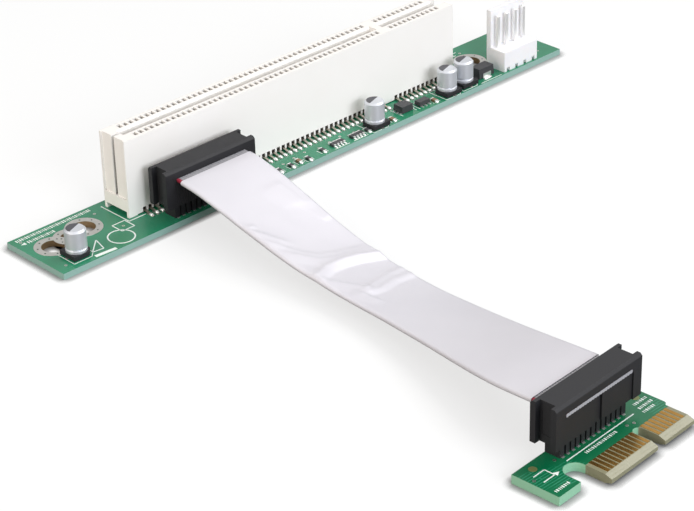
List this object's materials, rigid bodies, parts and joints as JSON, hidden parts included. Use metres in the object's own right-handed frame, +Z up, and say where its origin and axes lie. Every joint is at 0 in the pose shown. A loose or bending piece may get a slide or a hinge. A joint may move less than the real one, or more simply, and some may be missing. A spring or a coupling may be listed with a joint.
{
  "type": "pcie to pci adapter",
  "caption": "Riser adapter: a long board with a tall parallel card slot, joined by a foil-wrapped ribbon cable to a small board with a serial card edge.",
  "frame": {"origin": "under the middle of the whole footprint, on the desk that both boards lie on", "axes": "+X along the long board from its fixing holes to its power header, +Y from the card edge towards the long board, +Z up out of the expansion slot"},
  "size_m": [0.13, 0.1254, 0.0167],
  "materials": {
    "solder_mask": "glossy green solder mask on glass-fibre board",
    "white_plastic": "satin off-white moulded plastic",
    "black_plastic": "satin near-black moulded plastic",
    "tinned": "dull tin plating",
    "gold": "polished gold plating",
    "can_metal": "satin drawn can",
    "cable_sheath": "ribbed grey ribbon insulation",
    "foil": "creased satin foil",
    "chip_dark": "matt dark moulding compound",
    "chip_brown": "matt brown ceramic"
  },
  "bodies": {
    "root": {"amplifier_body": "chip_dark", "amplifier_leads": "tinned", "capacitor_1_base": "black_plastic", "capacitor_1_can": "can_metal", "capacitor_1_terminals": "tinned", "capacitor_2_base": "black_plastic", "capacitor_2_can": "can_metal", "capacitor_2_terminals": "tinned", "capacitor_3_base": "black_plastic", "capacitor_3_can": "can_metal", "capacitor_3_terminals": "tinned", "capacitor_4_base": "black_plastic", "capacitor_4_can": "can_metal", "capacitor_4_terminals": "tinned", "chip_capacitor_bodies": "chip_brown", "chip_capacitor_caps": "tinned", "chip_resistor_bodies": "chip_dark", "chip_resistor_caps": "tinned", "diode_body": "chip_dark", "diode_terminals": "tinned", "edge_board": "solder_mask", "edge_fingers_bottom": "gold", "edge_fingers_top": "gold", "foil_wrap": "foil", "header_a_base": "black_plastic", "header_a_pins": "tinned", "header_b_base": "black_plastic", "header_b_pins": "tinned", "pci_board": "solder_mask", "power_header_housing": "white_plastic", "power_header_pins": "tinned", "regulator_body": "chip_dark", "regulator_leads": "tinned", "resistor_array_bodies": "chip_dark", "resistor_array_pads": "tinned", "ribbon_cable": "cable_sheath", "slot_contacts_front": "tinned", "slot_contacts_rear": "tinned", "slot_housing": "white_plastic", "socket_a_body": "black_plastic", "socket_a_cover": "black_plastic", "socket_b_body": "black_plastic", "socket_b_cover": "black_plastic"}
  },
  "joints": []
}
